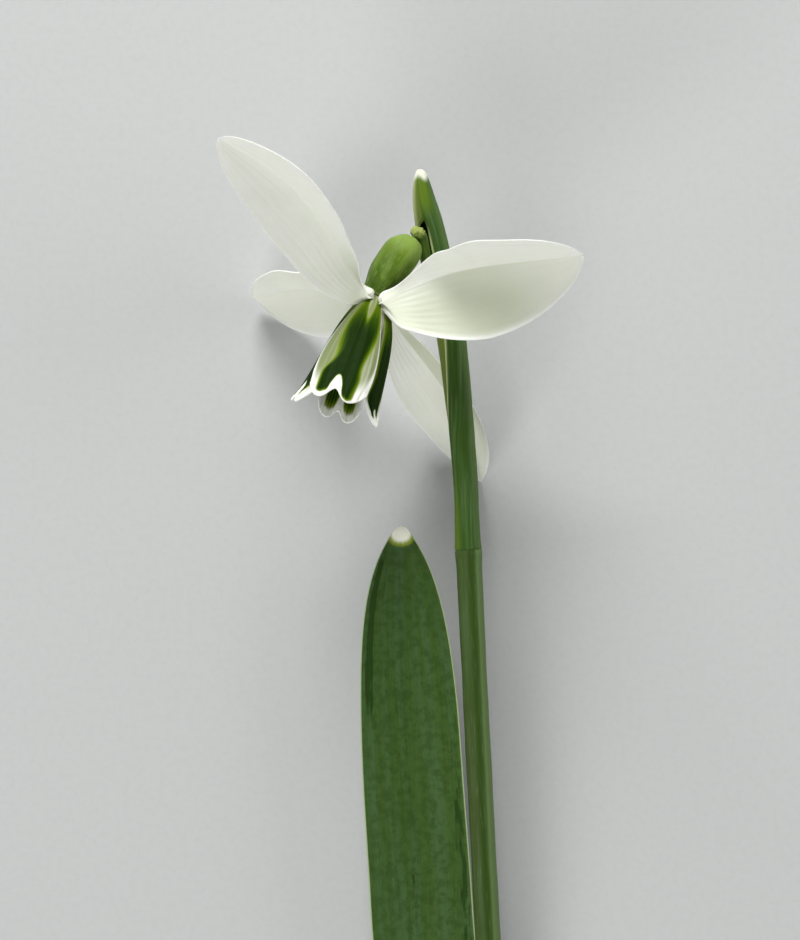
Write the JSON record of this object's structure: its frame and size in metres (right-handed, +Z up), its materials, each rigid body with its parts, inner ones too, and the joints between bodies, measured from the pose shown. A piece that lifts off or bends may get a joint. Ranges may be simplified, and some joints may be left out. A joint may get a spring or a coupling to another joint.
{
  "type": "snowdrop flower",
  "caption": "Cut snowdrop lying down: nodding flower with spread white tepals, a notched inner cup with green marks, a green ovary, a slit bract, a long stem and a strap leaf.",
  "frame": {"origin": "middle of the bounding box on the surface that the flower lies on", "axes": "+Z up from the surface, +Y along the stem from the cut foot to the flower, +X to the right seen from above with the flower at the top"},
  "size_m": [0.0432, 0.139, 0.0395],
  "materials": {
    "petal_white": "soft white petal with fine lengthwise veins, thin enough to let some light through, green marks on the inner ones",
    "fresh_green": "smooth waxy yellow-green",
    "bract_green": "yellow-green bract with paler membrane edges",
    "stem_green": "mid green stem with fine lengthwise ribs, satin",
    "leaf_green": "dark green strap leaf with a bluish bloom, lengthwise streaks and a cream tip",
    "sheath_cream": "pale papery tube with faint green veins",
    "anther_yellow": "matt orange-yellow anthers"
  },
  "bodies": {
    "root": {"scape": "stem_green", "spathe": "bract_green", "pedicel": "fresh_green", "ovary": "fresh_green", "outer_tepal_right": "petal_white", "outer_tepal_upper_left": "petal_white", "outer_tepal_lower_left": "petal_white", "outer_tepal_lower_right": "petal_white", "inner_tepal_front": "petal_white", "inner_tepal_left": "petal_white", "inner_tepal_back": "petal_white", "inner_tepal_right": "petal_white", "stamens": "anther_yellow", "style": "petal_white", "leaf": "leaf_green", "basal_sheath": "sheath_cream"}
  },
  "joints": []
}
